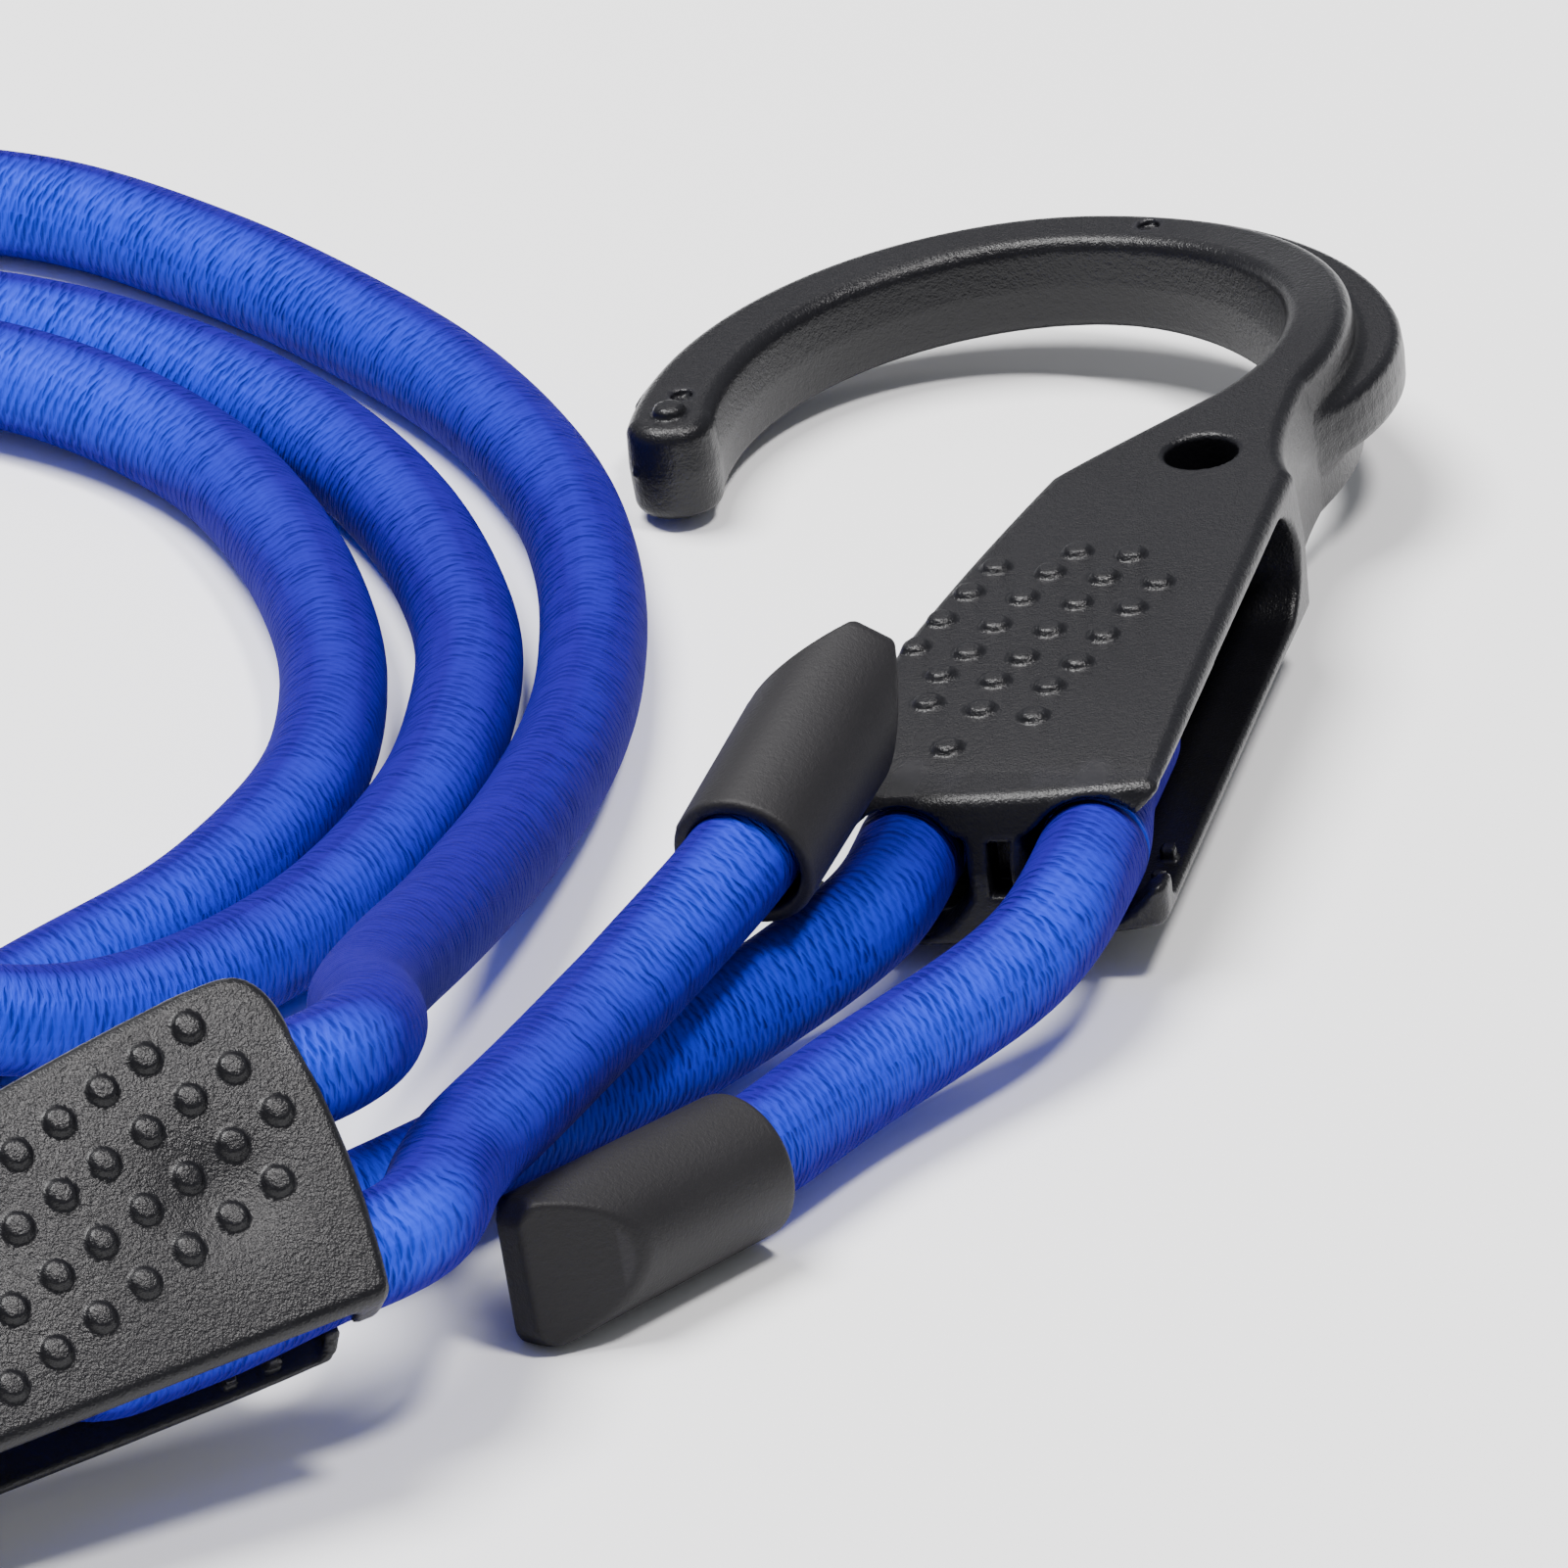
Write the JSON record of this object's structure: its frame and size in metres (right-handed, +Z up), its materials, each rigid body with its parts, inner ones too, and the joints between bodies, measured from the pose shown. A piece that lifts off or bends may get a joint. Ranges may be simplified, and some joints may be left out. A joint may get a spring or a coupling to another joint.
{
  "type": "bungee cord",
  "caption": "Adjustable elastic bungee cord, coiled loosely, with a moulded hook and cord adjuster at each end and a moulded cap on each tail.",
  "frame": {"origin": "on the floor, under the middle of the box round the two hooks", "axes": "+Z up; +Y is the way the pictured hook points, away from the viewer; +X to the viewer's right"},
  "size_m": [0.1954, 0.2411, 0.0417],
  "materials": {
    "hook_plastic": "satin moulded nylon, faint sheen on the rims",
    "cap_plastic": "matte moulded plastic",
    "blue_braid": "tight braided polyester sheath with a soft sheen"
  },
  "bodies": {
    "cord": {"cord_coil": "blue_braid", "cord_lead_a": "blue_braid", "cord_lead_b": "blue_braid", "cord_bend_a": "blue_braid", "cord_bend_b": "blue_braid", "cord_tail_a": "blue_braid", "cord_tail_b": "blue_braid", "cap_a": "cap_plastic", "cap_b": "cap_plastic"},
    "hook_a_body": {"hook_a": "hook_plastic"},
    "hook_b_body": {"hook_b": "hook_plastic"}
  },
  "joints": [
    {"name": "hook_a_slide", "type": "slide", "parent": "cord", "child": "hook_a_body", "axis": [-0.2317, -0.9727, -0.0162], "range_m": [0, 0.0045]},
    {"name": "hook_b_slide", "type": "slide", "parent": "cord", "child": "hook_b_body", "axis": [0.84, 0.533, 0.101], "range_m": [0, 0.0045]}
  ]
}
